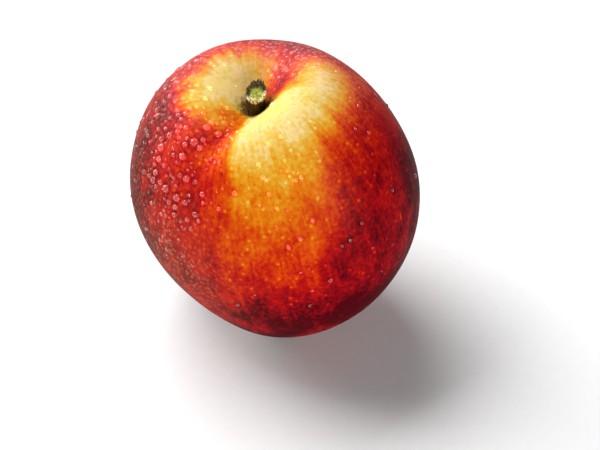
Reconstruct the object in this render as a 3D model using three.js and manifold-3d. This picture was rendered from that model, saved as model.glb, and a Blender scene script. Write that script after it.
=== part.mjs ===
// A whole ripe nectarine lying on a table, with the short stub of its stalk.
// Millimetres, +Z up. The origin is on the small flat spot that it rests on, near its middle.
// Both solids are modelled upright about the stalk axis, with the suture on the +X side,
// and one group then leans the fruit the way it comes to rest.

import * as THREE from 'three';
import { mergeVertices } from 'three/addons/utils/BufferGeometryUtils.js';
import Module from 'manifold-3d';

const wasm = await Module();
wasm.setup();

// Body: the distance from the core's centre to the skin, and what changes it
const BODY_RADIUS = 34.2;
const SHOULDER_SWELL = 0.65;      // fuller at the stalk end, slimmer at the blossom end
const HEIGHT_SWELL = 0.5;         // longer from end to end than across the waist
const TAPER_SWELL = -0.5;         // draws the lower half in towards the blossom end
const SUTURE_FLATTENING = 1.7;    // the suture's side is flatter than the back
const CHEEK_STRETCH = 0.024;      // the two cheeks stand out, across the suture
const UNEVEN_TWO_FOLD = [0.45, 0.75];     // gentle lopsidedness of the lower half,
const UNEVEN_THREE_FOLD = [0.75, 0.45];   // as cosine and sine parts round the stalk
const FULLER_AND_FLATTER = [              // [degrees from the stalk, degrees round, degrees wide, mm]
  [113, 68, 44, 1.8],
  [70, 149, 28, -1.4],
  [66, -68, 20, -0.6],
  [122, -16, 18, -0.5],
];

// Stalk cavity: a trough, longer along the suture than across it (angles from the stalk)
const CAVITY_DEPTH = 9.8;
const CAVITY_ALONG = 0.42;
const CAVITY_ACROSS = 0.272;
const CAVITY_TURN = 0.22;         // the trough is turned a little from the line of the suture
const CAVITY_STEEPNESS = 2.6;
const CAVITY_FLOOR_DEPTH = 2;
const CAVITY_FLOOR_WIDTH = 0.1;
const SHOULDER_RIM = 0.7;
const SHOULDER_RIM_ANGLE = 0.55;
const SHOULDER_RIM_WIDTH = 0.2;

// Suture: a groove from the cavity down one side, deepest where it leaves the cavity
const GROOVE_TOP_DEPTH = 2.6;
const GROOVE_TOP_ANGLE = 0.48;
const GROOVE_TOP_WIDTH = 0.3;
const GROOVE_SIDE_DEPTH = 0.6;
const GROOVE_HALF_WIDTH = 3.4;
const GROOVE_WIDENING = 1.6;

// Blossom end: a shallow dent with the dried point of the flower in it
const BLOSSOM_DENT = 1.4;
const BLOSSOM_DENT_WIDTH = 0.11;
const BLOSSOM_POINT = 0.5;
const BLOSSOM_POINT_WIDTH = 0.035;

// Facets of the fruit: steps round the stalk, rings from end to end
const STEPS_AROUND = 80;
const RINGS = 52;
const RING_CROWDING = 0.2;        // rings lie closer together near both ends

// Stalk stub: a collar at the foot, a waist, and a torn top that flares a little.
// Above the collar it bends to one side (angles round the stalk, from the suture).
const STUB_COLLAR_RADIUS = 3.1;
const STUB_WAIST_RADIUS = 2.1;
const STUB_TOP_RADIUS = 2.5;
const STUB_LENGTH = 7.4;
const STUB_SUNK = 1.4;            // how far the foot sits in its socket in the flesh
const STUB_BEND = 0.2;            // how far it runs sideways for each mm that it rises
const STUB_BEND_TOWARDS = 2.15;
const STUB_TEAR_SLOPE = 0.35;     // the torn top is higher on one side
const STUB_TEAR_TOWARDS = -2.3;
const STUB_TEAR_HEIGHT = 1;       // how far down from the top the slope reaches
const STUB_SIDES = 28;
const STUB_GAP = 0.3;

// How the fruit lies: leans in degrees, and where its core is over the flat spot
const LEAN_BACK = 2.5;
const LEAN_LEFT = 9.6;
const SUTURE_TURN = 236.8;
const CORE_ACROSS = -0.1;
const CORE_ALONG = -2.4;
const CORE_HEIGHT = 33.65;

const bell = (distance, width) => Math.exp(-((distance / width) ** 2));
const ramp = (value, low, high) => THREE.MathUtils.smoothstep(value, low, high);
const toRadians = THREE.MathUtils.degToRad;

// The unit vector at the angle fromStalk down from the stalk and the angle around it
function direction(fromStalk, around) {
  return new THREE.Vector3(
    Math.sin(fromStalk) * Math.cos(around),
    Math.sin(fromStalk) * Math.sin(around),
    Math.cos(fromStalk),
  );
}

// Distance from the core to the skin. fromStalk is the angle down from the stalk,
// and around is the angle round it from the suture.
function skinRadius(fromStalk, around) {
  const facing = Math.max(Math.cos(around), 0);
  const [twoCos, twoSin] = UNEVEN_TWO_FOLD;
  const [threeCos, threeSin] = UNEVEN_THREE_FOLD;
  let radius = BODY_RADIUS
    + SHOULDER_SWELL * Math.cos(fromStalk)
    + HEIGHT_SWELL * Math.cos(2 * fromStalk)
    + TAPER_SWELL * Math.cos(3 * fromStalk);
  radius -= SUTURE_FLATTENING * Math.sin(fromStalk) * facing ** 2;

  const lowerHalf = Math.sin(fromStalk) * (1 - Math.cos(fromStalk)) / 2;
  radius += lowerHalf * (twoCos * Math.cos(2 * around) + twoSin * Math.sin(2 * around)
    + threeCos * Math.cos(3 * around) + threeSin * Math.sin(3 * around));

  const outwards = direction(fromStalk, around);
  for (const [down, aside, width, height] of FULLER_AND_FLATTER) {
    const apart = outwards.angleTo(direction(toRadians(down), toRadians(aside)));
    radius += height * bell(apart, toRadians(width));
  }

  const roundCavity = around - CAVITY_TURN;
  const cavityWidth = 1 / Math.hypot(
    Math.cos(roundCavity) / CAVITY_ALONG, Math.sin(roundCavity) / CAVITY_ACROSS,
  );
  radius -= CAVITY_DEPTH * Math.exp(-((fromStalk / cavityWidth) ** CAVITY_STEEPNESS));
  radius -= CAVITY_FLOOR_DEPTH * bell(fromStalk, CAVITY_FLOOR_WIDTH);
  radius += SHOULDER_RIM * bell(fromStalk - SHOULDER_RIM_ANGLE, SHOULDER_RIM_WIDTH);

  const acrossSuture = radius * Math.sin(fromStalk) * Math.sin(around);
  const grooveDepth = GROOVE_TOP_DEPTH * bell(fromStalk - GROOVE_TOP_ANGLE, GROOVE_TOP_WIDTH)
    + GROOVE_SIDE_DEPTH * ramp(fromStalk, 0.4, 0.9) * (1 - ramp(fromStalk, 1.9, 2.6));
  const grooveWidth = GROOVE_HALF_WIDTH + GROOVE_WIDENING * ramp(fromStalk, 0.5, 1.4);
  const onSutureSide = ramp(Math.cos(around), 0, 0.35) * ramp(Math.sin(fromStalk), 0.05, 0.35);
  radius -= grooveDepth * bell(acrossSuture, grooveWidth) * onSutureSide;

  const fromBlossom = Math.PI - fromStalk;
  radius -= BLOSSOM_DENT * bell(fromBlossom, BLOSSOM_DENT_WIDTH);
  radius += BLOSSOM_POINT * bell(fromBlossom, BLOSSOM_POINT_WIDTH);
  return radius;
}

// A closed geometry with only its shared corners left
function weld(geometry) {
  geometry.deleteAttribute('normal');
  geometry.deleteAttribute('uv');
  return mergeVertices(geometry);
}

function toSolid(geometry) {
  const vertProperties = new Float32Array(geometry.attributes.position.array);
  const triVerts = new Uint32Array(geometry.index.array);
  return new wasm.Manifold(new wasm.Mesh({ numProp: 3, vertProperties, triVerts }));
}

function toGeometry(solid) {
  const mesh = solid.getMesh();
  const geometry = new THREE.BufferGeometry();
  geometry.setAttribute('position', new THREE.BufferAttribute(mesh.vertProperties, 3));
  geometry.setIndex(new THREE.BufferAttribute(mesh.triVerts, 1));
  geometry.computeVertexNormals();
  return geometry;
}

function namedMesh(name, geometry, look) {
  const mesh = new THREE.Mesh(geometry, new THREE.MeshStandardMaterial(look));
  mesh.name = name;
  return mesh;
}

// The whole fruit before it is cut: a sphere drawn out to the skin
function fruitBody() {
  const sphere = new THREE.SphereGeometry(1, STEPS_AROUND, RINGS);
  sphere.rotateX(Math.PI / 2);
  const body = weld(sphere);
  const corners = body.attributes.position;
  const corner = new THREE.Vector3();
  for (let i = 0; i < corners.count; i++) {
    corner.fromBufferAttribute(corners, i);
    const evenAngle = Math.acos(THREE.MathUtils.clamp(corner.z, -1, 1));
    const fromStalk = evenAngle - RING_CROWDING * Math.sin(2 * evenAngle);
    const around = Math.atan2(corner.y, corner.x);
    const radius = skinRadius(fromStalk, around);
    const fromAxis = radius * Math.sin(fromStalk);
    corners.setXYZ(
      i,
      fromAxis * Math.cos(around) * (1 - CHEEK_STRETCH),
      fromAxis * Math.sin(around) * (1 + CHEEK_STRETCH),
      radius * Math.cos(fromStalk),
    );
  }
  return body;
}

// The group that both pieces lie in
function restingGroup() {
  const group = new THREE.Group();
  group.rotation.set(-toRadians(LEAN_BACK), -toRadians(LEAN_LEFT), toRadians(SUTURE_TURN), 'YXZ');
  group.position.set(CORE_ACROSS, CORE_ALONG, CORE_HEIGHT);
  group.updateMatrixWorld(true);
  return group;
}

const cavityFloor = skinRadius(0, 0);
const stubFoot = cavityFloor - STUB_SUNK;

// Flesh and skin in one solid: the socket for the stalk and the flat spot are cut from it
function fruit(resting) {
  const socketDepth = STUB_SUNK + STUB_GAP;
  const socketMouth = 6;
  const socket = new THREE.CylinderGeometry(
    STUB_COLLAR_RADIUS + STUB_GAP, STUB_COLLAR_RADIUS + STUB_GAP, socketDepth + socketMouth, STUB_SIDES,
  );
  socket.rotateX(Math.PI / 2);
  socket.translate(0, 0, cavityFloor + (socketMouth - socketDepth) / 2);

  const tableSize = 4 * BODY_RADIUS;
  const table = new THREE.BoxGeometry(tableSize, tableSize, tableSize);
  table.translate(0, 0, -tableSize / 2);
  table.applyMatrix4(resting.matrixWorld.clone().invert());

  const body = toSolid(fruitBody()).subtract(toSolid(weld(socket))).subtract(toSolid(weld(table)));
  return namedMesh('fruit', toGeometry(body), { color: 0xb8321f, roughness: 0.36, metalness: 0 });
}

// Stub of the stalk: a turned outline with a collar, a waist and a slightly hollow top,
// which is then torn on a slope and bent to one side
function stalk() {
  const top = stubFoot + STUB_LENGTH;
  const collarTop = stubFoot + STUB_SUNK + 0.3;
  const outline = new THREE.Path();
  outline.moveTo(0, stubFoot);
  outline.lineTo(STUB_COLLAR_RADIUS - 0.4, stubFoot);
  outline.lineTo(STUB_COLLAR_RADIUS, stubFoot + 0.4);
  outline.lineTo(STUB_COLLAR_RADIUS, collarTop);
  outline.quadraticCurveTo(STUB_WAIST_RADIUS, stubFoot + 2.2, STUB_WAIST_RADIUS, stubFoot + 3.2);
  outline.quadraticCurveTo(STUB_WAIST_RADIUS, top - 1, STUB_TOP_RADIUS, top - 0.3);
  outline.quadraticCurveTo(STUB_TOP_RADIUS, top, STUB_TOP_RADIUS - 0.4, top);
  outline.quadraticCurveTo(STUB_TOP_RADIUS / 2, top - 0.5, 0, top - 0.6);
  const turned = new THREE.LatheGeometry(outline.getPoints(3), STUB_SIDES);
  turned.rotateX(Math.PI / 2);

  const corners = turned.attributes.position;
  const corner = new THREE.Vector3();
  for (let i = 0; i < corners.count; i++) {
    corner.fromBufferAttribute(corners, i);
    const towardsTear = corner.x * Math.cos(STUB_TEAR_TOWARDS) + corner.y * Math.sin(STUB_TEAR_TOWARDS);
    const nearTop = ramp(corner.z, top - STUB_TEAR_HEIGHT, top - STUB_TEAR_HEIGHT / 2);
    const sideways = STUB_BEND * Math.max(corner.z - collarTop, 0);
    corners.setXYZ(
      i,
      corner.x + sideways * Math.cos(STUB_BEND_TOWARDS),
      corner.y + sideways * Math.sin(STUB_BEND_TOWARDS),
      corner.z + STUB_TEAR_SLOPE * towardsTear * nearTop,
    );
  }
  return namedMesh('stalk', turned, { color: 0x7d6a24, roughness: 0.75, metalness: 0 });
}

const nectarine = restingGroup();
nectarine.add(fruit(nectarine), stalk());

export default new THREE.Group().add(nectarine);
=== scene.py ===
# %% [markdown]
# # A ripe nectarine, freshly sprayed with water
# This lesson dresses a plain solid model of a nectarine for a close-up. The solid has the right
# size, the stalk cavity, the suture and the small flat spot that the fruit rests on. Blender adds
# what the eye looks for: a smooth waxy skin with its blush, the torn stub of the stalk, and
# hundreds of water drops. The frame gives the solid's place, so nothing is fitted by hand.

# %% Load the frame
import math
import random

import bmesh
import bpy
from mathutils import Euler, Matrix, Vector, kdtree, noise


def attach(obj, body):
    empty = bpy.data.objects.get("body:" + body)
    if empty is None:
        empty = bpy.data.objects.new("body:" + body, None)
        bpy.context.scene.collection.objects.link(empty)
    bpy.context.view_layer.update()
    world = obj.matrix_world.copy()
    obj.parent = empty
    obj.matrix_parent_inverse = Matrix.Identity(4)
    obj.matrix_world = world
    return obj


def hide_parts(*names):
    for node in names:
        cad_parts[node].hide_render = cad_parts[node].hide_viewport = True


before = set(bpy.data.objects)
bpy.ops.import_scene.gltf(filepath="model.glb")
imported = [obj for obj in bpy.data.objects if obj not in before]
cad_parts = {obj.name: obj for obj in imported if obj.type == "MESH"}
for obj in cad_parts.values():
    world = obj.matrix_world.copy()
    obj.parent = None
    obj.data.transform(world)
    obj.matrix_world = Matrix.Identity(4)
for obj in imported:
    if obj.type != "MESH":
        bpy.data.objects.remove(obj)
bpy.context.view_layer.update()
MM = 0.001

print("solids in the frame:", sorted(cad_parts))

# %% [markdown]
# ## How the fruit lies
# A nectarine is easiest to describe upright, with the stalk along +Z and the suture, the seam
# down one cheek, on the +X side. The real fruit has rolled a little to one side, so one matrix
# takes the upright fruit to the way it lies on the table. Its inverse takes a point on the table
# back to the upright fruit, which is what the materials need.

# %% The upright fruit and the fruit at rest
LEAN_BACK = math.radians(2.5)
LEAN_LEFT = math.radians(9.6)
SUTURE_TURN = math.radians(236.8)
CORE = Vector((-0.1, -2.4, 33.65))          # the middle of the fruit, in mm over the flat spot

lean = Euler((-LEAN_BACK, 0, 0)).to_matrix()
roll = Euler((0, -LEAN_LEFT, 0)).to_matrix()
turn = Euler((0, 0, SUTURE_TURN)).to_matrix()
AT_REST = Matrix.Translation(CORE) @ (roll @ lean @ turn).to_4x4()
UPRIGHT = AT_REST.inverted()

stalk_axis = AT_REST.to_3x3() @ Vector((0, 0, 1))
print("the stalk leans", round(math.degrees(stalk_axis.angle(Vector((0, 0, 1)))), 1), "degrees")

# %% [markdown]
# ## The form of the fruit
# A fruit has no straight edges to extrude, but it has a clear rule: from the core, the distance
# to the skin changes smoothly with direction. Two angles give a direction, one down from the
# stalk and one round it. Adding a few smooth bells and ramps to a plain radius gives the
# shoulders, the trough that the stalk sits in, the suture and the dent at the blossom end. A
# short list of fuller and flatter places makes it lopsided, as every real fruit is. A formula
# like this is easier to correct than a sculpted mesh, because each value has a name.

# %% Bells and ramps
def bell(distance, width):
    """1 at no distance, fading to nothing past about twice the width."""
    return math.exp(-(distance / width) ** 2)


def ramp(value, low, high):
    """0 below low, 1 above high, and a smooth step between them."""
    step = min(max((value - low) / (high - low), 0.0), 1.0)
    return step * step * (3 - 2 * step)


# %% Body: lengths in mm
BODY_RADIUS = 34.2
SHOULDER_SWELL = 0.65                       # fuller at the stalk end, slimmer at the blossom end
HEIGHT_SWELL = 0.5                          # longer from end to end than across the waist
TAPER_SWELL = -0.5                          # draws the lower half in towards the blossom end
SUTURE_FLATTENING = 1.7                     # the suture's side is flatter than the back
CHEEK_STRETCH = 0.024                       # the two cheeks stand out, across the suture
UNEVEN_LOWER_HALF = [                       # (how many times round, cosine part, sine part)
    (2, 0.45, 0.75),
    (3, 0.75, 0.45),
]
FULLER_AND_FLATTER = [      # (degrees from the stalk, degrees round it, degrees wide, mm)
    (113, 68, 44, 1.8),
    (70, 149, 28, -1.4),
    (66, -68, 20, -0.6),
    (122, -16, 18, -0.5),
]

# %% Stalk cavity, suture and blossom end: lengths in mm, angles in radians
CAVITY_DEPTH, CAVITY_STEEPNESS = 9.8, 2.6
CAVITY_ALONG, CAVITY_ACROSS = 0.42, 0.272   # a trough, longer along the suture than across it
CAVITY_TURN = 0.22                          # turned a little from the line of the suture
CAVITY_FLOOR_DEPTH, CAVITY_FLOOR_WIDTH = 2, 0.1
RIM_SWELL, RIM_ANGLE, RIM_WIDTH = 0.7, 0.55, 0.2
GROOVE_TOP_DEPTH, GROOVE_TOP_ANGLE, GROOVE_TOP_WIDTH = 2.6, 0.48, 0.3
GROOVE_SIDE_DEPTH = 0.6
GROOVE_SIDE_STARTS, GROOVE_SIDE_ENDS = (0.4, 0.9), (1.9, 2.6)
GROOVE_HALF_WIDTH, GROOVE_WIDENING, GROOVE_WIDENS = 3.4, 1.6, (0.5, 1.4)
GROOVE_FACING = 0, 0.35                     # cosine of the angle round: the suture's side only
GROOVE_OFF_AXIS = 0.05, 0.35                # sine of the angle down: clear of both ends
BLOSSOM_DENT, BLOSSOM_DENT_WIDTH = 1.4, 0.11
BLOSSOM_POINT, BLOSSOM_POINT_WIDTH = 0.5, 0.035

# %% Distance from the core to the skin
def direction(from_stalk, around):
    """The unit vector at these two angles, in radians."""
    level = math.sin(from_stalk)
    return Vector((level * math.cos(around), level * math.sin(around), math.cos(from_stalk)))


SWELLINGS = [
    (direction(math.radians(down), math.radians(side)), math.radians(width), height)
    for down, side, width, height in FULLER_AND_FLATTER
]


def skin_radius(from_stalk, around):
    """The radius of the upright fruit, from the two angles in radians."""
    facing = max(math.cos(around), 0)
    radius = BODY_RADIUS + SHOULDER_SWELL * math.cos(from_stalk)
    radius += HEIGHT_SWELL * math.cos(2 * from_stalk) + TAPER_SWELL * math.cos(3 * from_stalk)
    radius -= SUTURE_FLATTENING * math.sin(from_stalk) * facing ** 2

    lower_half = math.sin(from_stalk) * (1 - math.cos(from_stalk)) / 2
    for times, cosine_part, sine_part in UNEVEN_LOWER_HALF:
        uneven = cosine_part * math.cos(times * around) + sine_part * math.sin(times * around)
        radius += lower_half * uneven
    outwards = direction(from_stalk, around)
    for middle, width, height in SWELLINGS:
        radius += height * bell(outwards.angle(middle), width)

    round_cavity = around - CAVITY_TURN
    cavity_width = 1 / math.hypot(
        math.cos(round_cavity) / CAVITY_ALONG, math.sin(round_cavity) / CAVITY_ACROSS
    )
    cavity = CAVITY_DEPTH * math.exp(-(from_stalk / cavity_width) ** CAVITY_STEEPNESS)
    radius -= cavity + CAVITY_FLOOR_DEPTH * bell(from_stalk, CAVITY_FLOOR_WIDTH)
    radius += RIM_SWELL * bell(from_stalk - RIM_ANGLE, RIM_WIDTH)

    across_suture = radius * math.sin(from_stalk) * math.sin(around)
    on_side = ramp(from_stalk, *GROOVE_SIDE_STARTS) * (1 - ramp(from_stalk, *GROOVE_SIDE_ENDS))
    groove = GROOVE_TOP_DEPTH * bell(from_stalk - GROOVE_TOP_ANGLE, GROOVE_TOP_WIDTH)
    groove += GROOVE_SIDE_DEPTH * on_side
    half_width = GROOVE_HALF_WIDTH + GROOVE_WIDENING * ramp(from_stalk, *GROOVE_WIDENS)
    groove *= bell(across_suture, half_width)
    groove *= ramp(math.cos(around), *GROOVE_FACING)
    radius -= groove * ramp(math.sin(from_stalk), *GROOVE_OFF_AXIS)

    from_blossom = math.pi - from_stalk
    radius -= BLOSSOM_DENT * bell(from_blossom, BLOSSOM_DENT_WIDTH)
    return radius + BLOSSOM_POINT * bell(from_blossom, BLOSSOM_POINT_WIDTH)


def skin_point(from_stalk, around, lift=0.0):
    """A point of the upright fruit in mm, lift mm above its skin."""
    radius = skin_radius(from_stalk, around) + lift
    from_axis = radius * math.sin(from_stalk)
    return Vector((
        from_axis * math.cos(around) * (1 - CHEEK_STRETCH),
        from_axis * math.sin(around) * (1 + CHEEK_STRETCH),
        radius * math.cos(from_stalk),
    ))


CAVITY_FLOOR = skin_radius(0, 0)
back_of_rim = skin_point(RIM_ANGLE, math.pi)
print("the cavity is", round(back_of_rim.z - CAVITY_FLOOR, 1), "mm deep")

# %% [markdown]
# ## The skin as a mesh
# An icosphere is a good start, because its triangles are alike in size all over and it has no
# poles to pinch. Each corner is moved out to the skin by the formula, and a little noise gives
# the slight unevenness of something that grew. Corners that would be under the table are pressed
# up to it: that is the flat spot. Three things are stored at each corner for the material to
# read: how ripe the skin is there, with painted shade added in some spots; how close it is to
# the stalk's scar, whose dark cork is widened as painted shade on the cavity's steep wall; and
# how much of the mist's painted glints and sheen lies on it. Each is painted by formula too.
# Here all angles are in degrees, "down" from the stalk and "side" round it from the suture, and
# a pair of numbers says where a ramp starts and ends.

# %% Soft spots
def places(spots, down, side):
    """The sum of soft spots at this place, each with its own middle, spread and amount."""
    total = 0
    for spot_side, spot_down, spread_round, spread_down, amount in spots:
        away = math.remainder(side - spot_side, 360)
        total += amount * bell(away, spread_round) * bell(down - spot_down, spread_down)
    return total


# %% How far the blush has come
RIPER_AND_SHADED_SPOTS = [             # (degrees round, degrees down, spread round, spread down, how much)
    (8, 22, 12, 8, 0.28),           # the end of the suture, on the cavity's edge
    (1, 36, 8, 8, -0.15),           # the suture just below it
    # painted shade: the groove left of the stub is made riper, so darker
    (-14, 13, 27, 9, 0.42),         # the groove left of the stub
    # partly painted shade: the steep wall behind the stub lies in shade, and is made a darker
    # red-brown
    (150, 14, 38, 8, 0.8),          # the steep wall behind the stub
    (60, 27, 45, 8, 0.03),          # the ridge in front of it
    # painted shade: the back shoulder is made darker as if under the shadow of fruits behind it
    (175, 27, 42, 9, 0.22),         # the back shoulder
    (-82, 34, 32, 10, 0.07),        # the left shoulder
    # painted shade: the right cheek, turned away from the light, is made darker
    (125, 90, 22, 30, 0.16),        # the right cheek
    (85, 45, 12, 10, -0.08),        # the blush's edge above it
    (60, 50, 14, 14, 0.05),         # the right side of the leaf's shadow
    (68, 101, 18, 9, -0.06),        # the right cheek low down
    # painted shade: the skin that faces the table below it is made darker
    (78, 120, 32, 12, 0.32),        # the dark skin that faces the table below it
    (18, 121, 20, 9, -0.12),        # the foot of the shaded side
    (136, 37, 16, 9, -0.07),        # the far end of the ridge
    (-14, 74, 11, 20, -0.12),       # the left cheek, beside the suture
    (-40, 52, 14, 16, -0.09),       # and at its edge
    (-86, 24, 26, 8, 0.04),         # the left rim of the cavity
]


# %% The shaded cheek
SHADE_STARTS, SHADE_ENDS = 24, 115          # it is yellow above, and red below
SHADE_RIPEST = 0.98
AMBER_BAND, AMBER_DOWN, AMBER_SPREAD = 0.07, 60, 12
# the foot, near the table, is made riper as painted shade
FOOT_SHADE, FOOT_FROM = 0.06, (102, 114)
FOOT_SHADE_RIGHT, FOOT_SIDE, FOOT_SPREAD = 0.08, 58, 28


def slow_blush_and_foot_shade(down, side):
    """In a leaf's shade the cheek ripened slowly, from yellow through amber to red. Near the table it
    is darker still: painted shade.
    """
    way_down = (down - SHADE_STARTS) / (SHADE_ENDS - SHADE_STARTS)
    ripe = SHADE_RIPEST * min(max(way_down, 0), 1) + AMBER_BAND * bell(down - AMBER_DOWN, AMBER_SPREAD)
    foot = FOOT_SHADE + FOOT_SHADE_RIGHT * bell(side - FOOT_SIDE, FOOT_SPREAD)
    return ripe + foot * ramp(down, *FOOT_FROM)


# %% The sunny cheeks
BLUSH_STARTS = 25                           # the angle down where the blush sets in,
LOWER_ON_RIGHT = 15                         # how much further down that is on the right,
RIGHT_STARTS, RIGHT_ENDS = (45, 80), (120, 175)
HIGHER_ON_LEFT, LEFT_SIDE, LEFT_SPREAD = 0.8, -75, 45       # and how much higher on the left
EDGE_ABOVE, EDGE_ABOVE_RIGHT, EDGE_SOFTENS = 7, 4, (0, 60)  # how softly the edge begins
EDGE_BELOW, DEEPENS_OVER = 8, 45
PALEST, FIRST_BLUSH, DEEPENING = 0.04, 0.68, 0.17
SHOULDER_BLUSH, SHOULDER_SIDE, SHOULDER_SPREAD = 0.14, -45, 36
SHOULDER_FROM = 22, 30
THIN_BESIDE_SUTURE, BESIDE_SIDE, BESIDE_SPREAD = 0.2, -22, 13
BESIDE_FROM, BESIDE_TO, BESIDE_FADE = (24, 34), (38, 66), 0.9
THIN_BELOW_IT, BELOW_SIDE, BELOW_SPREAD = 0.07, -8, 26
BELOW_FROM, BELOW_TO = (40, 60), (105, 125)
THIN_UNDERNEATH, UNDER_SIDE, UNDER_SPREAD = 0.05, 20, 60
UNDER_FROM = 100, 116


def sunny_blush(down, side):
    """In full sun the blush sets in along an edge round the shoulder, lower on the right."""
    edge = BLUSH_STARTS + LOWER_ON_RIGHT * ramp(side, *RIGHT_STARTS) * (1 - ramp(side, *RIGHT_ENDS))
    edge -= HIGHER_ON_LEFT * bell(side - LEFT_SIDE, LEFT_SPREAD)
    softness = EDGE_ABOVE + EDGE_ABOVE_RIGHT * ramp(side, *EDGE_SOFTENS)
    ripe = PALEST + FIRST_BLUSH * ramp(down, edge - softness, edge + EDGE_BELOW)
    ripe += DEEPENING * ramp(down, edge, edge + DEEPENS_OVER)
    ripe += SHOULDER_BLUSH * bell(side - SHOULDER_SIDE, SHOULDER_SPREAD) * ramp(down, *SHOULDER_FROM)
    beside_suture = bell(side - BESIDE_SIDE, BESIDE_SPREAD) * ramp(down, *BESIDE_FROM)
    beside_suture *= 1 - BESIDE_FADE * ramp(down, *BESIDE_TO)
    below_it = bell(side - BELOW_SIDE, BELOW_SPREAD)
    below_it *= ramp(down, *BELOW_FROM) * (1 - ramp(down, *BELOW_TO))
    underneath = bell(side - UNDER_SIDE, UNDER_SPREAD) * ramp(down, *UNDER_FROM)
    ripe -= THIN_BESIDE_SUTURE * beside_suture + THIN_BELOW_IT * below_it
    return ripe - THIN_UNDERNEATH * underneath


# %% The leaf's shadow between them
SHADOW_LEFT, SHADOW_LEFT_SHIFT, SHIFTS = 20, 9, (54, 76)    # its left edge shifts lower down
SHADOW_RIGHT, RIGHT_FROM, RIGHT_SLANT = 73, 45, 0.42        # and its right edge slants in
DIM_SHARE, DIM_BAND = 0.4, (-20, -6)                        # from the left edge
CRISP_EDGE = -5, 4
SOFT_EDGE = -13, 10                                         # from the right edge


def leaf_shade(down, side):
    """1 in the leaf's shadow. Its left edge is crisp, with a dimmer band outside it."""
    from_left = side - SHADOW_LEFT + SHADOW_LEFT_SHIFT * ramp(down, *SHIFTS)
    from_right = side - SHADOW_RIGHT + RIGHT_SLANT * (down - RIGHT_FROM)
    shade = DIM_SHARE * ramp(from_left, *DIM_BAND) + (1 - DIM_SHARE) * ramp(from_left, *CRISP_EDGE)
    return shade * (1 - ramp(from_right, *SOFT_EDGE))


# %% All of it together
def ripeness_and_shade(down, side):
    """0 where the yellow ground shows, 1 where the sun has turned the skin deep crimson. Some spots
    are made riper, so darker, as painted shade.
    """
    side = math.remainder(side, 360)
    shade = leaf_shade(down, side)
    blush_with_painted_light = shade * slow_blush_and_foot_shade(down, side) + (1 - shade) * sunny_blush(down, side)
    return blush_with_painted_light + places(RIPER_AND_SHADED_SPOTS, down, side)


for name, down, side in (("pale ridge", 30, 60), ("amber middle", 65, 40), ("right cheek", 80, 110)):
    print("ripeness of the", name, round(ripeness_and_shade(down, side), 2))

# %% Where the mist's painted glints and sheen are put
# pale specks and haze: painted glints of spray too fine to model, and painted sheen on the top rim and
# the left cheek
MIST_GLINT_AND_SHEEN_PLACES = [                  # (degrees round, degrees down, spread round, spread down, how much)
    (-150, 27, 62, 14, 0.95),
    (140, 32, 42, 13, 0.75),
    (-62, 55, 34, 44, 0.22),
    (-14, 92, 24, 28, 0.48),
    (-25, 28, 22, 12, 0.2),
    (66, 56, 9, 18, 0.18),
    (40, 27, 26, 7, 0.3),
    (-86, 26, 26, 7, 0.5),
]

# %% Settings of the skin
SKIN_SUBDIVISIONS = 7       # 40,962 corners, about 0.6 mm apart
UNEVENNESS = 0.12           # mm, over lumps about 12 mm across
LUMP_SIZE = 12.0
EDGE_WANDER = 4.0           # degrees, how far the edges of the blush wander,
WANDERS = 3.2               # and about how often in one radian
WANDER_SEED = 2             # without a seed, noise_vector starts from the clock and differs each run
EDGE_FINGERS = 2.9          # degrees, how far its fingers reach along the streaks,
FINGERS_ROUND = 9.0         # how narrow they are,
FINGERS_DOWN = 2.0          # and how long
SCAR_RADIUS = 5.2           # mm, the corky ring that the stalk stands in
# on the steep side the dark cork is widened as painted shade on that wall
SCAR_AND_WALL_SHADE_SPREAD = 3.0           # mm, how much wider it is on the steep side of the cavity,
STEEP_SIDE = 100            # which lies at this angle round the stalk,
STEEP_SPREAD = 57           # and fades over this one

# %% What the skin's corners store
def angles(point):
    """The angle down from the stalk and the angle round it, of a point of the upright fruit."""
    return math.acos(max(-1, min(1, point.z / point.length))), math.atan2(point.y, point.x)


def wandering_ripeness_and_shade(towards, from_stalk, around):
    """The ripeness here, with its painted shade, and with the blush's edges made to wander and to run
    into fingers.
    """
    wander = noise.noise_vector(towards * WANDERS) * EDGE_WANDER
    wrapped = Vector((
        FINGERS_ROUND * math.cos(around), FINGERS_ROUND * math.sin(around), FINGERS_DOWN * from_stalk,
    ))
    fingers = noise.noise(wrapped) * EDGE_FINGERS
    return ripeness_and_shade(
        math.degrees(from_stalk) + wander.x + fingers, math.degrees(around) + wander.y,
    )


def closeness_to_scar_and_wall_shade(upright, around):
    """1 in the middle of the stalk's scar, fading out over its radius, which is wider on the steep
    wall as painted shade there.
    """
    from_steep_side = math.remainder(math.degrees(around) - STEEP_SIDE, 360)
    reach = SCAR_RADIUS + SCAR_AND_WALL_SHADE_SPREAD * bell(from_steep_side, STEEP_SPREAD)
    return bell(math.hypot(upright.x, upright.y), reach) * (upright.z > 0)


# %% Make the skin
def add_piece(name, shape):
    """Turn a finished bmesh into a smooth object at the origin."""
    mesh = bpy.data.meshes.new(name)
    shape.to_mesh(mesh)
    shape.free()
    mesh.shade_smooth()
    piece = bpy.data.objects.new(name, mesh)
    bpy.context.scene.collection.objects.link(piece)
    return piece


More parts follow.
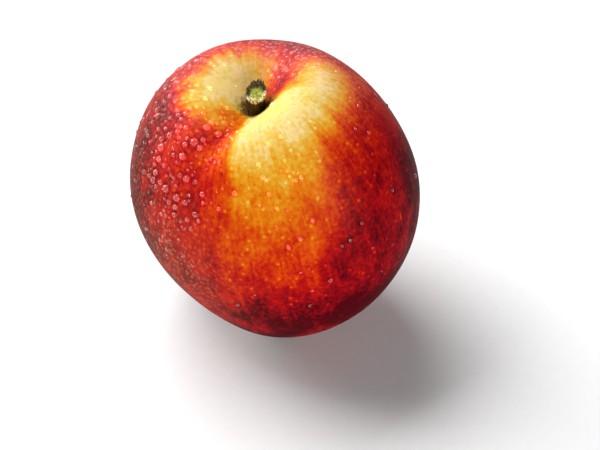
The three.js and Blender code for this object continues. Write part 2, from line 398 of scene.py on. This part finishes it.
def make_skin():
    """The skin, its flat spot, and the three values at each corner."""
    noise.seed_set(WANDER_SEED)
    shape = bmesh.new()
    bmesh.ops.create_icosphere(shape, subdivisions=SKIN_SUBDIVISIONS, radius=1)
    ripe = shape.verts.layers.float.new("ripeness_and_shade")
    scar_and_wall_shade = shape.verts.layers.float.new("scar_and_wall_shade")
    mist_glint_and_sheen = shape.verts.layers.float.new("mist_glint_and_sheen")
    for corner in shape.verts:
        from_stalk, around = angles(corner.co)
        lump = UNEVENNESS * noise.noise(corner.co * BODY_RADIUS / LUMP_SIZE)
        upright = skin_point(from_stalk, around, lump)
        corner[ripe] = wandering_ripeness_and_shade(corner.co, from_stalk, around)
        corner[scar_and_wall_shade] = closeness_to_scar_and_wall_shade(upright, around)
        corner[mist_glint_and_sheen] = places(MIST_GLINT_AND_SHEEN_PLACES, math.degrees(from_stalk), math.degrees(around))
        corner.co = AT_REST @ upright
        corner.co.z = max(corner.co.z, 0)
        corner.co *= MM
    return add_piece("fruit_skin", shape)


fruit_skin = make_skin()
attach(fruit_skin, "root")
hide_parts("fruit")
print("the skin has", len(fruit_skin.data.polygons), "triangles")

# %% [markdown]
# ## Colour and nodes
# Colours are picked as sRGB hex values, as on a paint card, while Blender's shaders work in
# linear light, so one function turns one into the other. A second small function adds a shader
# node, gives it its settings, and joins its inputs. The kinds of node that come up again and
# again have a short function each, so that a material reads as a list of steps.

# %% Helpers for materials
def colour(hex_code):
    """sRGB hex to linear RGBA."""
    parts = [int(hex_code[i:i + 2], 16) / 255 for i in (1, 3, 5)]
    return [p / 12.92 if p <= 0.04045 else ((p + 0.055) / 1.055) ** 2.4 for p in parts] + [1.0]


def new_material(name):
    """An empty node material, with its tree."""
    material = bpy.data.materials.new(name)
    material.use_nodes = True
    material.node_tree.nodes.clear()
    return material, material.node_tree


def add(tree, kind, inputs=None, **settings):
    """One node: its settings by name, and each input joined to a socket or given a value."""
    node = tree.nodes.new(kind)
    for name, value in settings.items():
        setattr(node, name, value)
    for name, value in (inputs or {}).items():
        if isinstance(value, bpy.types.NodeSocket):
            tree.links.new(value, node.inputs[name])
        else:
            node.inputs[name].default_value = value
    return node


def calculate(tree, operation, *values, **settings):
    """One Math node."""
    inputs = dict(enumerate(values))
    return add(tree, "ShaderNodeMath", inputs, operation=operation, **settings).outputs[0]


def calculate_vector(tree, operation, *values):
    """One Vector Math node."""
    return add(tree, "ShaderNodeVectorMath", dict(enumerate(values)), operation=operation).outputs[0]


def remap(tree, value, old, new=(0.0, 1.0), **settings):
    """One Map Range node, from the old pair of limits to the new one."""
    return add(tree, "ShaderNodeMapRange", {
        "Value": value, "From Min": old[0], "From Max": old[1], "To Min": new[0], "To Max": new[1],
    }, **settings).outputs[0]


def pattern(tree, place, size, **inputs):
    """Noise with features about this size, in the units of place."""
    inputs = {name.capitalize(): value for name, value in inputs.items()}
    return add(tree, "ShaderNodeTexNoise", {"Vector": place, "Scale": 1 / size, **inputs}).outputs[0]


def colours_along(tree, value, stops):
    """A Color Ramp with these (position, hex colour) stops, looked up by a value."""
    node = add(tree, "ShaderNodeValToRGB", {"Fac": value})
    marks = node.color_ramp.elements
    while len(marks) < len(stops):
        marks.new(0.5)
    for mark, (position, hex_code) in zip(marks, stops):
        mark.position = position
        mark.color = colour(hex_code)
    return node.outputs["Color"]


def mix(tree, share, first, second):
    """Two colours mixed, with this share of the second."""
    return add(tree, "ShaderNodeMix", {0: share, 6: first, 7: second}, data_type="RGBA").outputs[2]


def stored(tree, name):
    """A value stored at the corners of the mesh."""
    return add(tree, "ShaderNodeAttribute", attribute_name=name).outputs["Fac"]


def upright_place(tree):
    """The place in mm on the upright fruit, wherever the finished one lies."""
    return add(tree, "ShaderNodeMapping", {
        "Vector": add(tree, "ShaderNodeTexCoord").outputs["Object"],
        "Location": UPRIGHT.translation,
        "Rotation": UPRIGHT.to_euler("XYZ"),
        "Scale": (1 / MM,) * 3,
    }).outputs[0]


def bumps(tree, height, strength, depth):
    """Relief in the shading, up to depth mm deep."""
    inputs = {"Height": height, "Strength": strength, "Distance": depth * MM}
    return add(tree, "ShaderNodeBump", inputs).outputs[0]


def shade_with(tree, inputs):
    """A Principled shader with these inputs, joined to the output."""
    shader = add(tree, "ShaderNodeBsdfPrincipled", inputs)
    add(tree, "ShaderNodeOutputMaterial", {"Surface": shader.outputs[0]})


# %% [markdown]
# ## The skin's finish
# Nectarine skin is a thin waxy cuticle over coloured cells. The wax has an IOR near 1.45, but it
# is soft and dusty: it spreads its reflection wide and mirrors very little. So the roughness is
# about one half and the specular level is kept very low, which also keeps the reds deep where
# the skin curves away from the eye. The colour is a yellow ground under a red blush. The blush
# isn't a flat paint: it comes in short streaks that run from the stalk to the blossom end, in
# larger patches, and in fine flecks where it is thin, and it is pricked all over by pale pores.
# So the stored ripeness, which carries some painted shade too, is first disturbed by those
# patterns, each at its real size in mm, and only then looked up in a ramp of skin colours, whose
# palest cream also paints the highlight on the ridge and whose darkest crimson paints shade low
# down. Green places in the yellow, the cork of the scar with painted shade on the cavity's steep
# wall, and the mist's painted glints and sheen are mixed over that.

# %% Patterns of the skin: sizes in mm, strengths as shares of ripeness
STREAK_WIDTH, STREAK_LENGTH, STREAK_STRENGTH = 1.3, 9.0, 0.3
MOTTLE_SIZE, MOTTLE_STRENGTH = 5.0, 0.4
FLECK_SIZE, FLECK_STRENGTH = 1.0, 0.4
PATCH_SIZE, PATCH_STRENGTH = 12.0, 0.3
CALM_GROUND, CALM_ENDS = 0.75, (0.1, 0.5)   # unripe skin is broken up only by this share of that
PORE_SPACING, PORE_RANDOMNESS = 2.3, 0.9
PORE_RADIUS = 0.42                          # a little larger than life, to show at this distance
PORE_EDGE = 0.4, 1.4                        # of the radius, where its soft edge starts and ends
PORE_PALENESS = 0.2
# the mist's specks are painted glints, and the haze between them is painted sheen
MIST_SPACING, MIST_RANDOMNESS = 1.1, 1.0
BEAD_GLINT, SHEEN_HAZE = 0.5, 0.14                      # how much of the mist's colour they show
BEAD_GLINT_EDGE = 0.2, 0.5                        # of the spacing

# %% Colours of the skin
# the palest cream near 0.05, shown on the ridge in front of the stalk, is partly a painted highlight
# of the softbox there; the darkest crimson at 1.00 is partly painted shade, low on the right and
# underneath
SKIN_COLOURS_WITH_PAINTED_LIGHT = [
    (0.00, "#ecca6a"),
    (0.05, "#e6ce90"),
    (0.10, "#e1c070"),
    (0.16, "#deb04c"),
    (0.25, "#dc9c22"),
    (0.38, "#d97a0c"),
    (0.50, "#d25208"),
    (0.62, "#c53206"),
    (0.74, "#ae120c"),
    (0.86, "#890611"),
    (1.00, "#4a020c"),
]
GREEN_GROUND, GREENEST = "#d4c84c", 0.35    # the share of it where the ground is greenest
GREEN_UP_TO, GREEN_MOTTLE = (0.08, 0.32), (0.45, 0.62)
CORK_AND_WALL_SHADE_COLOURS = [(0.35, "#2c1608"), (0.50, "#5e3210"), (0.62, "#86581c"), (0.75, "#b08238")]
CORK_RAGGEDNESS, CORK_EDGE = 0.5, (0.72, 1.05)
# colours of the painted glints and sheen: pinker on the top rim, warmer lower down
MIST_SHEEN_ABOVE, MIST_SHEEN_BELOW = "#dc9ca0", "#f4b48c"
MIST_SHEEN_CHANGES = 0.5, 0.9                     # radians down from the stalk

# %% Wax and flesh
WAX_IOR = 1.45
WAX_SPECULAR = 0.02
WAX_ROUGHNESS, ROUGH_MOTTLE = (0.48, 0.58), (0.3, 0.7)
RELIEF_DEPTH, RELIEF_STRENGTH = 0.05, 0.25  # mm, and how strongly it shows
PORE_DENT = -1.6                            # pores are dents in the relief of the flecks
FLESH_GLOW, GLOW_REACH = 0.12, 2            # light that travels under the skin, up to 2 mm
GLOW_BY_COLOUR = 1.0, 0.35, 0.2             # red light gets furthest

# %% Layers of the skin
def streaks_round_stalk(tree, mm, down):
    """Noise wrapped round the stalk, and stretched from end to end."""
    flat = calculate_vector(tree, "MULTIPLY", mm, (1, 1, 0))
    around = calculate_vector(tree, "NORMALIZE", flat)
    down_vector = add(tree, "ShaderNodeCombineXYZ", {"Z": down}).outputs[0]
    narrowing = (STREAK_LENGTH / STREAK_WIDTH,) * 3
    wrapped = calculate_vector(tree, "MULTIPLY_ADD", around, narrowing, down_vector)
    return pattern(tree, wrapped, STREAK_LENGTH / BODY_RADIUS, detail=4.0, roughness=0.6)


def break_up(tree, ripe, patterns):
    """Ripeness shifted by (pattern, strength) pairs, and less so where the yellow ground shows."""
    shifts = 0.0
    for noise_value, strength in patterns:
        centred = calculate(tree, "SUBTRACT", noise_value, 0.5)
        shifts = calculate(tree, "MULTIPLY_ADD", centred, strength, shifts)
    share = remap(tree, ripe, CALM_ENDS, (CALM_GROUND, 1.0))
    return calculate(tree, "MULTIPLY_ADD", shifts, share, ripe)


def cell_distance(tree, mm, spacing, randomness):
    """How far the nearest of many scattered dots is, as a share of their spacing."""
    return add(tree, "ShaderNodeTexVoronoi", {
        "Vector": mm, "Scale": 1 / spacing, "Randomness": randomness,
    }, feature="F1").outputs["Distance"]


def paint_mist_glints_and_sheen(tree, skin, mm, down):
    """Painted glints of beads too small to model, as pale specks, with a faint painted sheen between
    them.
    """
    distance = cell_distance(tree, mm, MIST_SPACING, MIST_RANDOMNESS)
    beads = remap(tree, distance, BEAD_GLINT_EDGE, (BEAD_GLINT, SHEEN_HAZE), interpolation_type="SMOOTHSTEP")
    painted_mist_share = calculate(tree, "MULTIPLY", stored(tree, "mist_glint_and_sheen"), beads, use_clamp=True)
    below = remap(tree, down, MIST_SHEEN_CHANGES)
    return mix(tree, painted_mist_share, skin, mix(tree, below, colour(MIST_SHEEN_ABOVE), colour(MIST_SHEEN_BELOW)))


# %% Skin material
def make_skin_material():
    """Stored ripeness with its painted shade, broken up and looked up as colour, under cork, the
    mist's painted glints and sheen, and wax.
    """
    material, tree = new_material("waxy nectarine skin")
    mm = upright_place(tree)
    facing = calculate_vector(tree, "NORMALIZE", mm)
    height = add(tree, "ShaderNodeSeparateXYZ", {0: facing}).outputs["Z"]
    down = calculate(tree, "ARCCOSINE", height)

    # ripeness, broken up by four patterns and pricked by pores
    streaks = streaks_round_stalk(tree, mm, down)
    mottle = pattern(tree, mm, MOTTLE_SIZE, detail=3.0, roughness=0.55, distortion=0.4)
    flecks = pattern(tree, mm, FLECK_SIZE, detail=2.0, roughness=0.6)
    patches = pattern(tree, mm, PATCH_SIZE, detail=2.0, distortion=0.6)
    broken_up = break_up(tree, stored(tree, "ripeness_and_shade"), [
        (streaks, STREAK_STRENGTH),
        (mottle, MOTTLE_STRENGTH),
        (flecks, FLECK_STRENGTH),
        (patches, PATCH_STRENGTH),
    ])
    distance = cell_distance(tree, mm, PORE_SPACING, PORE_RANDOMNESS)
    edge = [share * PORE_RADIUS / PORE_SPACING for share in PORE_EDGE]
    pores = remap(tree, distance, edge, (PORE_PALENESS, 0.0), interpolation_type="SMOOTHSTEP")
    pricked = calculate(tree, "SUBTRACT", broken_up, pores)

    # its colour, greener in places where the ground ripened last
    blush_with_painted_light = colours_along(tree, pricked, SKIN_COLOURS_WITH_PAINTED_LIGHT)
    unripe = remap(tree, pricked, GREEN_UP_TO, (1.0, 0.0))
    green_places = remap(tree, mottle, GREEN_MOTTLE, (0.0, GREENEST))
    greenish = calculate(tree, "MULTIPLY", unripe, green_places)
    skin = mix(tree, greenish, blush_with_painted_light, colour(GREEN_GROUND))

    # the corky scar round the stalk, with painted shade on the steep wall, then the mist's painted
    # glints and sheen over everything
    ragged = calculate(tree, "MULTIPLY_ADD", flecks, CORK_RAGGEDNESS, stored(tree, "scar_and_wall_shade"))
    corky_and_wall_shade = remap(tree, ragged, CORK_EDGE, interpolation_type="SMOOTHSTEP")
    skin = mix(tree, corky_and_wall_shade, skin, colours_along(tree, flecks, CORK_AND_WALL_SHADE_COLOURS))
    skin = paint_mist_glints_and_sheen(tree, skin, mm, down)

    relief = calculate(tree, "MULTIPLY_ADD", pores, PORE_DENT, flecks)
    shade_with(tree, {
        "Base Color": skin,
        "Roughness": remap(tree, mottle, ROUGH_MOTTLE, WAX_ROUGHNESS),
        "IOR": WAX_IOR,
        "Specular IOR Level": WAX_SPECULAR,
        "Normal": bumps(tree, relief, RELIEF_STRENGTH, RELIEF_DEPTH),
        "Subsurface Weight": FLESH_GLOW,
        "Subsurface Radius": GLOW_BY_COLOUR,
        "Subsurface Scale": GLOW_REACH * MM,
    })
    return material


fruit_skin.data.materials.append(make_skin_material())
print("the skin's material has", len(fruit_skin.active_material.node_tree.nodes), "nodes")

# %% [markdown]
# ## The stalk's stub
# Picking tears the stalk off short. What stays is a woody stub a few millimetres wide, with a
# corky collar at its foot, a narrow waist, and a torn top that still shows green fibre. A profile
# spun round an axis gives the turned form, and noise that runs lengthwise gives the fibres. Above
# the collar the stub bends to one side, and its torn top slopes, with splinters on the high side.
# Two values are stored at each corner: how green the torn face is there, and how pale its rim.

# %% Form of the stub
STUB_SUNK = 1.4             # mm, how far the foot sits in its socket in the flesh
STUB_FOOT = CAVITY_FLOOR - STUB_SUNK
STUB_SIDES = 48
STUB_PROFILE = [            # (radius, height over the foot), in mm
    (0.0, 0.0), (2.7, 0.0), (3.1, 0.4), (3.1, 1.5), (2.85, 1.9), (2.4, 2.5), (2.15, 3.2),
    (2.1, 4.1), (2.15, 5.3), (2.35, 6.4), (2.5, 7.0), (2.3, 7.4), (1.7, 7.25), (0.9, 7.0),
    (0.0, 6.8),
]
COLLAR_TOP = 1.7            # above it the stub bends to one side
BEND, BEND_TOWARDS = 0.2, 2.15

# %% Tear and fibres: lengths in mm
TEAR_SLOPE, TEAR_TOWARDS = 0.35, -2.3       # the torn top is higher on one side
LIFTED_FROM = 6.4, 6.9                      # heights over the foot where the top is lifted,
COLOURED_FROM = 6.5, 6.9                    # where it shows its torn colours,
ROUGH_FROM = 5.9, 6.9                       # and where it is rough
GREEN_WITHIN = 1.2, 1.7                     # from the axis: the green face ends over this width
PALE_RIM = -0.3, 0.8                        # towards the low side: the pale rim sets in
SPLINTER = 1.7                              # how far torn fibres stand up:
SHORTEST_SPLINTER, LONGER_ONES = 0.3, 1.4   # the least share of it, and what noise may add
SPLINTER_FROM = 1.5, 2.3                    # from the axis: they stand on the rim,
SPLINTER_SIDE = 0, 1.6                      # and on its high side
SPLINTERS_ROUND = 4                         # noise units round the axis
TEAR_ROUGHNESS, ROUGH_SIZE = 0.5, 1 / 1.3
FIBRE_DEPTH = 0.22
FIBRES_ROUND, FIBRES_ALONG = 7.2, 0.4       # noise units round the axis, and for each mm along it
SMOOTH_WITHIN = 0.3                         # from the axis, where fibres have no direction
SPLINTER_PLACE = Vector((5, 1, 2))          # parts of the noise that suit this stub
ROUGH_PLACE = Vector((7, 3, 1))


def bend_stub(point):
    """Take a point of the straight stub to where it is on the bent one."""
    sideways = BEND * max(point.z - COLLAR_TOP, 0)
    aside = Vector((math.cos(BEND_TOWARDS), math.sin(BEND_TOWARDS), 0))
    return point + aside * sideways + Vector((0, 0, STUB_FOOT))


def fibre_relief(straight, outwards):
    """Noise drawn out along the stub, which raises and sinks its fibres."""
    along_fibre = outwards * FIBRES_ROUND + Vector((0, 0, straight.z * FIBRES_ALONG))
    return outwards * noise.noise(along_fibre) * FIBRE_DEPTH


def torn_height(height, out, towards_tear):
    """How far the tear lifts the top: a slope, and splinters that stand on its high side."""
    uneven = abs(noise.noise(out.normalized() * SPLINTERS_ROUND + SPLINTER_PLACE))
    splinter = SPLINTER * (SHORTEST_SPLINTER + LONGER_ONES * uneven)
    standing = ramp(out.length, *SPLINTER_FROM) * ramp(towards_tear, *SPLINTER_SIDE)
    return ramp(height, *LIFTED_FROM) * (TEAR_SLOPE * towards_tear + standing * splinter)


# %% Make the stub
def make_stub():
    """The stub: its profile spun, then torn, roughened and bent."""
    shape = bmesh.new()
    corners = [shape.verts.new((radius, 0, height)) for radius, height in STUB_PROFILE]
    edges = [shape.edges.new(pair) for pair in zip(corners, corners[1:])]
    bmesh.ops.subdivide_edges(shape, edges=edges, cuts=2)
    bmesh.ops.spin(
        shape, geom=shape.verts[:] + shape.edges[:], cent=(0, 0, 0), axis=(0, 0, 1),
        angle=2 * math.pi, steps=STUB_SIDES, use_merge=True,
    )
    bmesh.ops.remove_doubles(shape, verts=shape.verts, dist=0.001)
    torn = shape.verts.layers.float.new("torn")
    rim = shape.verts.layers.float.new("rim")
    high_side = Vector((math.cos(TEAR_TOWARDS), math.sin(TEAR_TOWARDS), 0))
    for corner in shape.verts:
        straight = corner.co.copy()
        out = Vector((straight.x, straight.y, 0))
        towards_tear = out.dot(high_side)
        on_top = ramp(straight.z, *COLOURED_FROM)
        corner[torn] = on_top * (1 - ramp(out.length, *GREEN_WITHIN))
        corner[rim] = on_top * ramp(-towards_tear, *PALE_RIM)
        if out.length > SMOOTH_WITHIN:
            corner.co += fibre_relief(straight, out.normalized())
            corner.co.z += torn_height(straight.z, out, towards_tear)
        lumps = noise.noise(straight / ROUGH_SIZE + ROUGH_PLACE)
        corner.co.z += TEAR_ROUGHNESS * lumps * ramp(straight.z, *ROUGH_FROM)
        corner.co = AT_REST @ bend_stub(corner.co) * MM
    bmesh.ops.recalc_face_normals(shape, faces=shape.faces)
    return add_piece("stalk_stub", shape)


stalk_stub = make_stub()
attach(stalk_stub, "root")
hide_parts("stalk")
print("the stub has", len(stalk_stub.data.polygons), "faces")

# %% [markdown]
# ## Stalk finish
# Dried stalk is a matt, fibrous, olive-brown wood. Its torn face is still green, with a pale
# cream rim on the low side. All three colours run lengthwise with the fibres, and the two
# stored values choose between them.

# %% Stalk material
FIBRE_WIDTH = 0.35          # mm
FIBRE_STRETCH = 0.15        # how slowly the fibres change from end to end
BARK_COLOURS = [(0.35, "#2a1a08"), (0.55, "#4e4010"), (0.75, "#75691f")]
RIM_COLOURS = [(0.38, "#84742c"), (0.5, "#dcc889"), (0.62, "#f8ecc4")]
TORN_COLOURS = [(0.35, "#7d8a1e"), (0.55, "#b2b63c"), (0.75, "#dcd67c")]


def make_stalk_material():
    """Fibrous wood, brown outside and green where it is torn."""
    material, tree = new_material("green wood of a fruit stalk")
    stretched = calculate_vector(tree, "MULTIPLY", upright_place(tree), (1, 1, FIBRE_STRETCH))
    fibres = pattern(tree, stretched, FIBRE_WIDTH, detail=3.0)
    bark = colours_along(tree, fibres, BARK_COLOURS)
    pale = colours_along(tree, fibres, RIM_COLOURS)
    green = colours_along(tree, fibres, TORN_COLOURS)
    with_rim = mix(tree, stored(tree, "rim"), bark, pale)
    shade_with(tree, {
        "Base Color": mix(tree, stored(tree, "torn"), with_rim, green),
        "Roughness": 0.7,
        "IOR": 1.5,
        "Normal": bumps(tree, fibres, strength=0.6, depth=0.15),
    })
    return material


stalk_stub.data.materials.append(make_stalk_material())
print("the stub's material has", len(stalk_stub.active_material.node_tree.nodes), "nodes")

# %% [markdown]
# ## Water drops
# A fine spray stands on waxy skin as small domes, because wax sheds water. Each drop is a
# flattened sphere of few faces, half sunk in the skin, so only its dome shows. They could be
# scattered by a particle system, but that is lost when the part is exported, so they are placed
# one by one with seeded random draws: thick and large on the shoulder left of the stalk, smaller
# round the cavity, and few elsewhere. A drop that would touch another is left out, as it would
# The biggest beads, on the cavity's wall beside the stub, are given in a list.

# %% Where the spray falls
DROP_SEED = 11
DROP_TRIES = 9000
SMALLEST_DROP, LARGEST_DROP = 0.3, 1.15     # mm, radius on the skin
MOSTLY_SMALL = 1.8                          # the higher this is, the rarer large drops are
DOME_HEIGHT = 0.62                          # of the radius
CLEAR_OF_STALK = 3.8                        # mm from the stalk's axis
CLEAR_OF_TABLE = 1.0                        # mm over the table
WETTED = [                  # (degrees round, degrees down, spread round, spread down, how wet)
    (-30, 44, 30, 15, 1.0),
    (-14, 66, 13, 14, 0.7),
    (-62, 30, 35, 9, 0.6),
    (-8, 26, 18, 8, 0.8),
    (175, 21, 14, 5, 0.7),
    (50, 58, 14, 25, 0.12),
]
DRY = 0.01                                  # how wet the rest of the skin is
SPRAY_ENDS = 95, 130                        # degrees down: nothing reaches the underside
DRY_DROP_SIZE = 0.4                         # drops on dry skin reach this share of the range
DROP_SEGMENTS, DROP_RINGS = 8, 5
BEADS_ON_WALL = [           # (degrees round, degrees down, radius in mm), beside the stub
    (80, 13, 0.95), (165, 20, 0.9), (-178, 21, 0.8), (142, 19, 0.7), (-10, 20, 0.85),
    (-12, 27, 0.9), (-36, 13, 0.7),
]


def drop_density(from_stalk, around):
    """How likely the spray is to have wetted this place, from 0 to 1."""
    down = math.degrees(from_stalk)
    wet = DRY + places(WETTED, down, math.degrees(around))
    return min(wet, 1) * (1 - ramp(down, *SPRAY_ENDS))


def skin_upwards(from_stalk, around):
    """The direction straight out of the skin."""
    step = 0.01
    down_skin = skin_point(from_stalk + step, around) - skin_point(from_stalk - step, around)
    along_skin = skin_point(from_stalk, around + step) - skin_point(from_stalk, around - step)
    return down_skin.cross(along_skin).normalized()


# %% Place the drops
def place_beads():
    """The big drops beside the stub."""
    beads = []
    for side, down, size in BEADS_ON_WALL:
        place = math.radians(down), math.radians(side)
        beads.append((skin_point(*place), size, skin_upwards(*place)))
    return beads


def place_drops():
    """The place, size and upward direction of every drop."""
    dice = random.Random(DROP_SEED)
    drops = place_beads()
    for _ in range(DROP_TRIES):
        from_stalk = math.acos(dice.uniform(-1, 1))
        around = dice.uniform(-math.pi, math.pi)
        wet = drop_density(from_stalk, around)
        size_share = DRY_DROP_SIZE + (1 - DRY_DROP_SIZE) * wet
        size_range = (LARGEST_DROP - SMALLEST_DROP) * size_share
        size = SMALLEST_DROP + size_range * dice.random() ** MOSTLY_SMALL
        wanted = dice.random() < wet
        point = skin_point(from_stalk, around)
        clear = all((point - other).length > size + other_size for other, other_size, _ in drops)
        outside_stalk = math.hypot(point.x, point.y) > CLEAR_OF_STALK or point.z < 0
        over_table = (AT_REST @ point).z > CLEAR_OF_TABLE
        if wanted and clear and outside_stalk and over_table:
            drops.append((point, size, skin_upwards(from_stalk, around)))
    return drops


# %% Make the drops
def make_drops(drops):
    """All the drops as one object, each a copy of one small flattened sphere."""
    form = bpy.data.meshes.new("one_drop")
    dome = bmesh.new()
    bmesh.ops.create_uvsphere(dome, u_segments=DROP_SEGMENTS, v_segments=DROP_RINGS, radius=1)
    dome.to_mesh(form)
    dome.free()
    shape = bmesh.new()
    for point, size, up in drops:
        upright = Matrix.Translation(point) @ up.to_track_quat("Z", "Y").to_matrix().to_4x4()
        flattened = Matrix.Diagonal((size, size, size * DOME_HEIGHT, 1))
        drop = form.copy()
        drop.transform(Matrix.Scale(MM, 4) @ AT_REST @ upright @ flattened)
        shape.from_mesh(drop)
        bpy.data.meshes.remove(drop)
    return add_piece("water_drops", shape)


drops = place_drops()
water_drops = make_drops(drops)
# the drops cast no shadow of their own; their shade is painted in a ring round each one below
water_drops.visible_shadow = False          # so small a drop lets nearly all the light through
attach(water_drops, "root")
print(len(drops), "drops,", len(water_drops.data.polygons), "faces")

# %% [markdown]
# Where a drop's edge meets the skin, the skin is wet and its colour is deeper, and the ring is
# also the drop's painted shadow, as the drops cast none. The skin's corners near each drop are
# found with a KD tree, a structure that answers "which points are close to this one" without
# trying them all, and their stored ripeness is raised in a ring.

# %% Wet ring and painted shadow round each drop
# the ring darkens the skin for its wetness and as each drop's painted shadow
WET_AND_SHADOW_RING = 0.22             # how much riper the wet skin looks, as a share of its ripeness,
DEEPEST_GAIN = 0.6          # counted up to this ripeness
RING_MIDDLE = 1.15          # these three are shares of the drop's radius
RING_WIDTH = 0.35
RING_REACH = 1.8


def wet_and_shade_round_drops(drops):
    """Raise the stored ripeness in a ring round each drop, for wet skin and as its painted shadow, and
    count the corners in reach.
    """
    wetted = 0
    corners = fruit_skin.data.vertices
    tree = kdtree.KDTree(len(corners))
    for corner in corners:
        tree.insert(corner.co / MM, corner.index)
    tree.balance()
    ripe = fruit_skin.data.attributes["ripeness_and_shade"].data
    for point, size, _ in drops:
        for _, index, away in tree.find_range(AT_REST @ point, RING_REACH * size):
            wet_and_shadow = WET_AND_SHADOW_RING * min(ripe[index].value, DEEPEST_GAIN)
            ripe[index].value += wet_and_shadow * bell(away / size - RING_MIDDLE, RING_WIDTH)
            wetted += 1
    return wetted


print("corners of the skin near a drop:", wet_and_shade_round_drops(drops))

# %% [markdown]
# ## Water
# Water has an IOR of 1.33 and a perfectly smooth surface. A small share of the light is scattered
# warmly instead of passing through, as by the traces of juice and bloom that a drop picks up from
# the skin. Without it, such small drops would hardly show.

# %% Water material
def make_water_material():
    """Clear water with a trace of warm haze."""
    material, tree = new_material("clear water")
    shade_with(tree, {
        "Base Color": colour("#fff0e2"), "Roughness": 0.0, "IOR": 1.33, "Transmission Weight": 0.94,
    })
    return material


water_drops.data.materials.append(make_water_material())

# %% [markdown]
# ## Table, light and camera
# The fruit lies on a white table that is lit until it is almost blank. A long softbox, high up
# behind the fruit's left shoulder, makes the soft shadow at the front right. A low panel on the
# left lights that cheek and its drops, and a low panel in front lifts the near side. The pale
# room round them fills the shadows a little.

# %% White table
TABLE_SIZE = 4.0            # metres
GRAIN_SIZE = 2.5 * MM


def make_table():
    """A wide matt board, very slightly grained."""
    shape = bmesh.new()
    bmesh.ops.create_grid(shape, x_segments=2, y_segments=2, size=TABLE_SIZE / 2)
    table = add_piece("white_table", shape)
    material, tree = new_material("matt white board")
    place = add(tree, "ShaderNodeTexCoord").outputs["Object"]
    grain = pattern(tree, place, GRAIN_SIZE, detail=2.0)
    shade_with(tree, {
        "Base Color": colours_along(tree, grain, [(0.3, "#eeeeee"), (0.7, "#f0f0f0")]),
        "Roughness": 0.85,
        "Specular IOR Level": 0.1,
    })
    table.data.materials.append(material)
    return table


make_table()

# %% Lamps
def add_lamp(name, azimuth, elevation, distance, size, power):
    """A soft rectangular lamp aimed at the fruit. Azimuth 0 is behind it, and 90 on its right."""
    data = bpy.data.lights.new(name, "AREA")
    data.shape = "RECTANGLE"
    data.size, data.size_y = size
    data.energy = power
    lamp = bpy.data.objects.new(name, data)
    level = math.cos(math.radians(elevation))
    towards = Vector((
        level * math.sin(math.radians(azimuth)),
        level * math.cos(math.radians(azimuth)),
        math.sin(math.radians(elevation)),
    ))
    lamp.location = CORE * MM + towards * distance
    lamp.rotation_euler = towards.to_track_quat("Z", "Y").to_euler()
    bpy.context.scene.collection.objects.link(lamp)
    return lamp


add_lamp("long softbox", azimuth=-44, elevation=58, distance=1.3, size=(1.3, 0.6), power=22)
add_lamp("low left panel", azimuth=-52, elevation=15, distance=1.3, size=(0.8, 0.4), power=15)
add_lamp("low front panel", azimuth=160, elevation=15, distance=1.3, size=(1.0, 0.4), power=13.5)

# %% Pale room
ROOM_BRIGHTNESS = 0.05

world = bpy.data.worlds.new("pale room")
world.use_nodes = True
bpy.context.scene.world = world
background = world.node_tree.nodes["Background"]
background.inputs["Color"].default_value = colour("#f4f6fa")
background.inputs["Strength"].default_value = ROOM_BRIGHTNESS
bpy.context.scene.view_settings.view_transform = "Standard"

# %% Camera
CAMERA_ELEVATION = math.radians(42)
CAMERA_DISTANCE = 1.3               # metres
FRAME_WIDTH = 138.6 * MM            # what the picture takes in, at the fruit
SENSOR_WIDTH = 36.0                 # mm
LOOK_RIGHT, LOOK_DOWN = 6.25 * MM, 7.9 * MM

towards_camera = Vector((0, -math.cos(CAMERA_ELEVATION), math.sin(CAMERA_ELEVATION)))
picture_up = Vector((0, math.sin(CAMERA_ELEVATION), math.cos(CAMERA_ELEVATION)))
camera_data = bpy.data.cameras.new("camera")
camera_data.sensor_width = SENSOR_WIDTH
camera_data.lens = SENSOR_WIDTH * CAMERA_DISTANCE / FRAME_WIDTH
camera = bpy.data.objects.new("camera", camera_data)
look_at = CORE * MM + Vector((LOOK_RIGHT, 0, 0)) - picture_up * LOOK_DOWN
camera.location = look_at + towards_camera * CAMERA_DISTANCE
camera.rotation_euler = towards_camera.to_track_quat("Z", "Y").to_euler()
bpy.context.scene.collection.objects.link(camera)
bpy.context.scene.camera = camera
print("lens", round(camera_data.lens), "mm")
